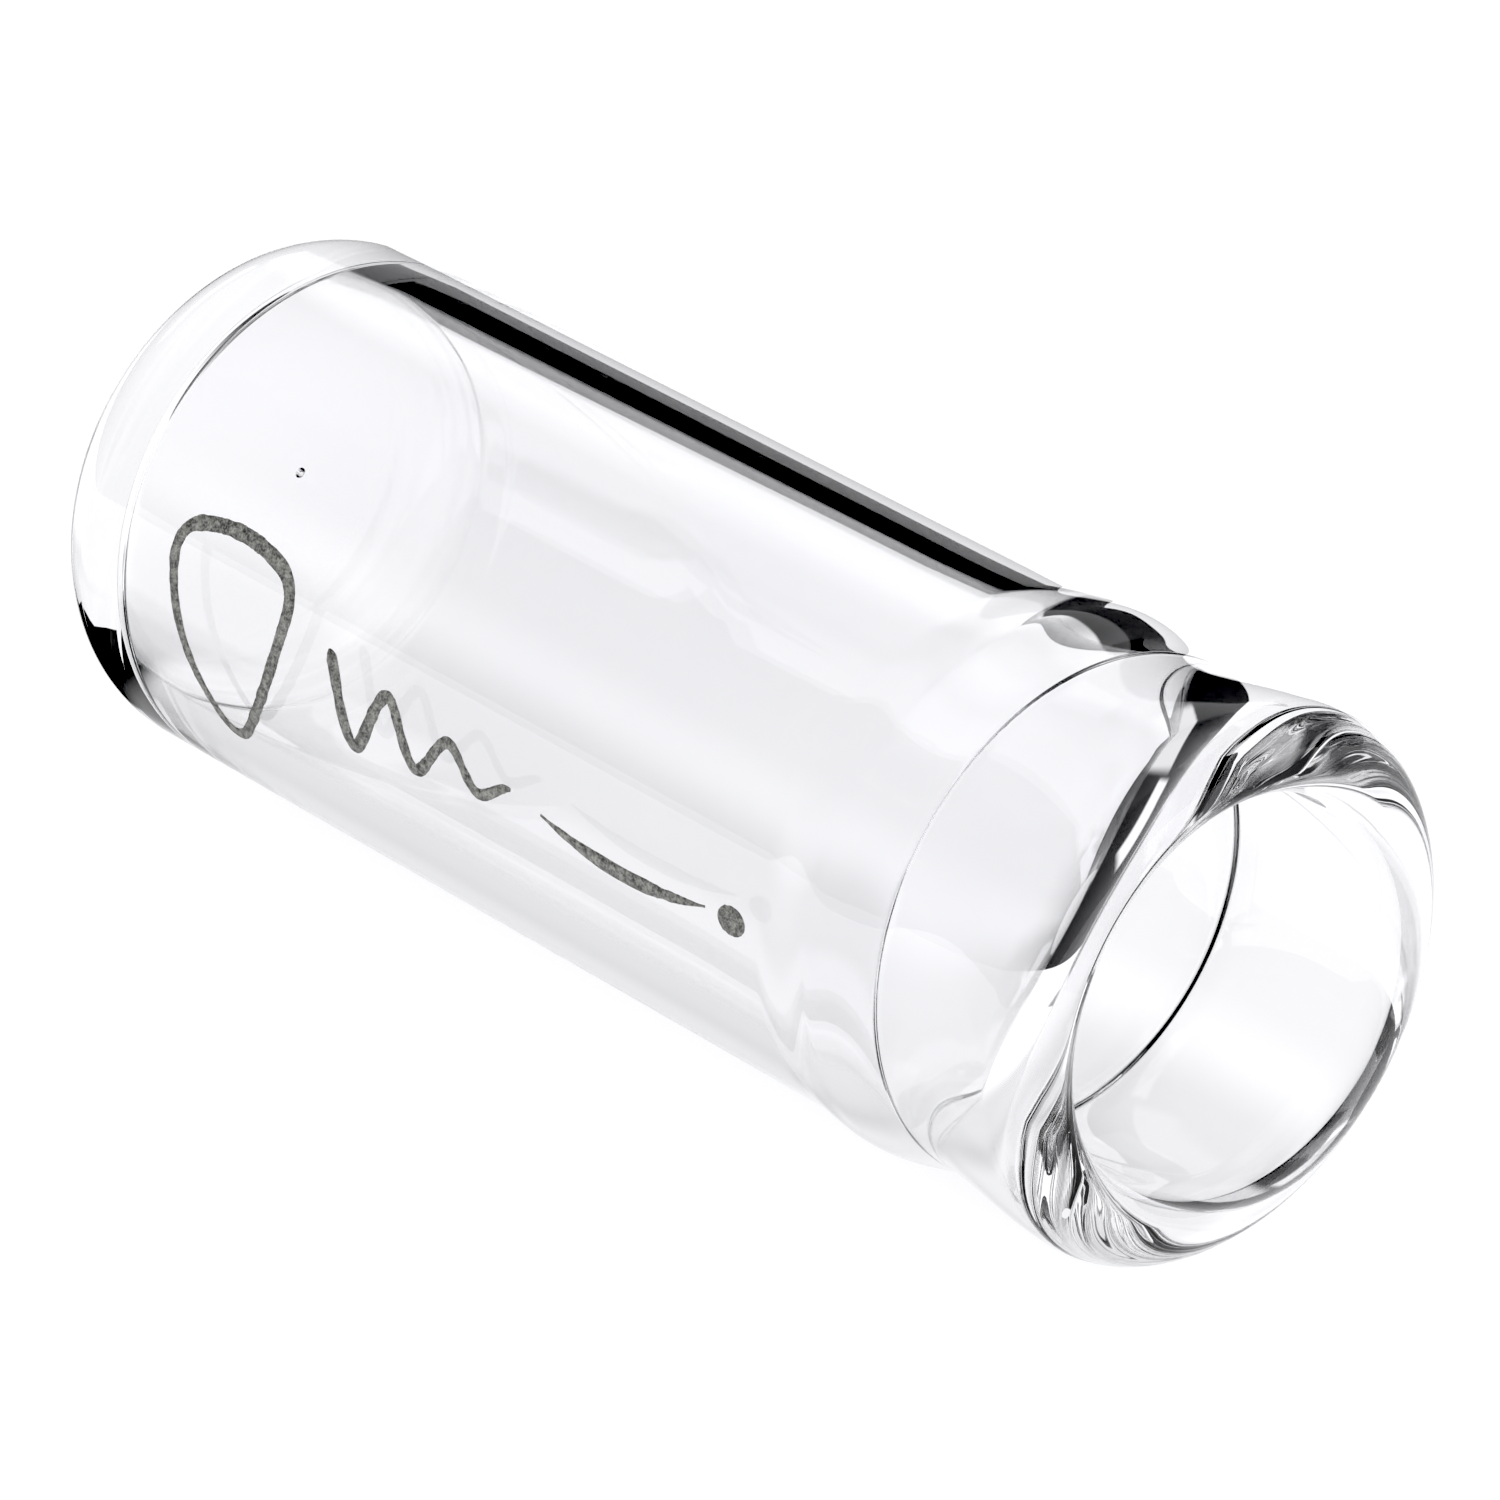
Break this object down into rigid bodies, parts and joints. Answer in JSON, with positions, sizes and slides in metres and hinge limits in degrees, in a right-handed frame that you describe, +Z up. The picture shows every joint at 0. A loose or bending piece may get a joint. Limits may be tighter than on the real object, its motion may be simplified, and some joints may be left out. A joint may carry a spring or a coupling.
{
  "type": "guitar slide",
  "caption": "Clear glass tube closed at one end, with a thick rolled lip, slid over a finger to stop guitar strings.",
  "frame": {"origin": "centre of the closed end's flat outer face", "axes": "+X along the tube towards its open mouth, +Z up with the tube lying on its side, printed ornament on the -Y side"},
  "size_m": [0.0716, 0.0278, 0.0278],
  "materials": {
    "clear_glass": "gloss",
    "silver_ink": "satin"
  },
  "bodies": {
    "root": {"glass_body": "clear_glass", "mark_plectrum": "silver_ink", "mark_wave": "silver_ink", "mark_string": "silver_ink", "mark_dot": "silver_ink"}
  },
  "joints": []
}
